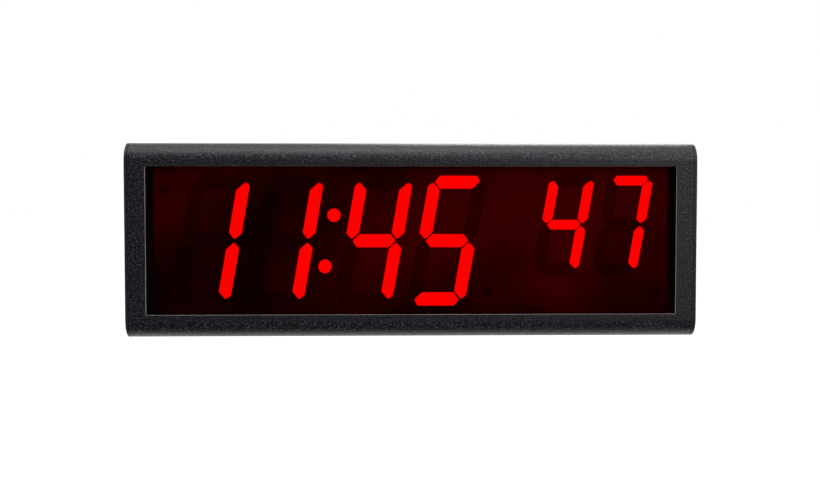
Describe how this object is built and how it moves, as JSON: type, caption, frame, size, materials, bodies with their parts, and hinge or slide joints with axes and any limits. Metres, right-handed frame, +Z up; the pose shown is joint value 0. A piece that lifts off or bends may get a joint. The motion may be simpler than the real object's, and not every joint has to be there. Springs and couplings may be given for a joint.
{
  "type": "digital network clock",
  "caption": "Wall-hung LED clock in a long black wrapped case with rounded top and bottom edges, a dark red window and slanted seven-segment digits.",
  "frame": {"origin": "middle of the rear cover's back face, on the wall", "axes": "+X to the right as the face is seen, +Y from the face to the wall, +Z up"},
  "size_m": [0.442, 0.048, 0.151],
  "materials": {
    "black_coat": "fine textured powder coat, black",
    "end_coat": "satin black paint",
    "black_screw": "black oxide",
    "red_acrylic": "clear dark red sheet",
    "mask": "matt dark grey",
    "light_guide": "milky red diffuser",
    "display_board": "black solder mask",
    "controller_board": "green solder mask",
    "zinc_steel": "zinc plated",
    "jack_shield": "tinned steel shield",
    "nylon": "natural nylon",
    "black_plastic": "moulded black plastic"
  },
  "bodies": {
    "clock": {"front_shell": "black_coat", "end_plate_left": "end_coat", "end_plate_right": "end_coat", "end_plate_screw_left_1": "black_screw", "end_plate_screw_left_2": "black_screw", "end_plate_screw_left_3": "black_screw", "end_plate_screw_left_4": "black_screw", "end_plate_screw_right_1": "black_screw", "end_plate_screw_right_2": "black_screw", "end_plate_screw_right_3": "black_screw", "end_plate_screw_right_4": "black_screw", "lens": "red_acrylic", "display_mask": "mask", "mask_screw_1": "black_screw", "mask_screw_2": "black_screw", "mask_screw_3": "black_screw", "mask_screw_4": "black_screw", "hour_tens_segments": "light_guide", "hour_units_segments": "light_guide", "minute_tens_segments": "light_guide", "minute_units_segments": "light_guide", "second_tens_segments": "light_guide", "second_units_segments": "light_guide", "colon_dots": "light_guide", "display_board": "display_board", "controller_board": "controller_board", "board_standoff_1": "nylon", "board_standoff_2": "nylon", "board_standoff_3": "nylon", "board_standoff_4": "nylon", "board_screw_1": "zinc_steel", "board_screw_2": "zinc_steel", "board_screw_3": "zinc_steel", "board_screw_4": "zinc_steel", "board_link_header": "black_plastic", "network_jack": "jack_shield", "poe_transformer": "black_plastic", "processor": "black_plastic", "coin_cell_holder": "black_plastic", "coin_cell": "zinc_steel", "bulk_capacitor_1": "black_plastic", "bulk_capacitor_2": "black_plastic", "setup_switch_body": "black_plastic", "reset_switch_body": "black_plastic", "rear_cover": "black_coat", "rear_cover_screw_1": "zinc_steel", "rear_cover_screw_2": "zinc_steel", "rear_cover_screw_3": "zinc_steel", "rear_cover_screw_4": "zinc_steel", "rear_cover_screw_5": "zinc_steel", "rear_cover_screw_6": "zinc_steel"},
    "setup_button": {"setup_button_cap": "nylon"},
    "reset_button": {"reset_button_cap": "nylon"}
  },
  "joints": [
    {"name": "setup_press", "type": "slide", "parent": "clock", "child": "setup_button", "axis": [0, -1, 0], "range_m": [0, 0.0008], "stiffness_N_per_m": 1500},
    {"name": "reset_press", "type": "slide", "parent": "clock", "child": "reset_button", "axis": [0, -1, 0], "range_m": [0, 0.0008], "stiffness_N_per_m": 1500}
  ]
}
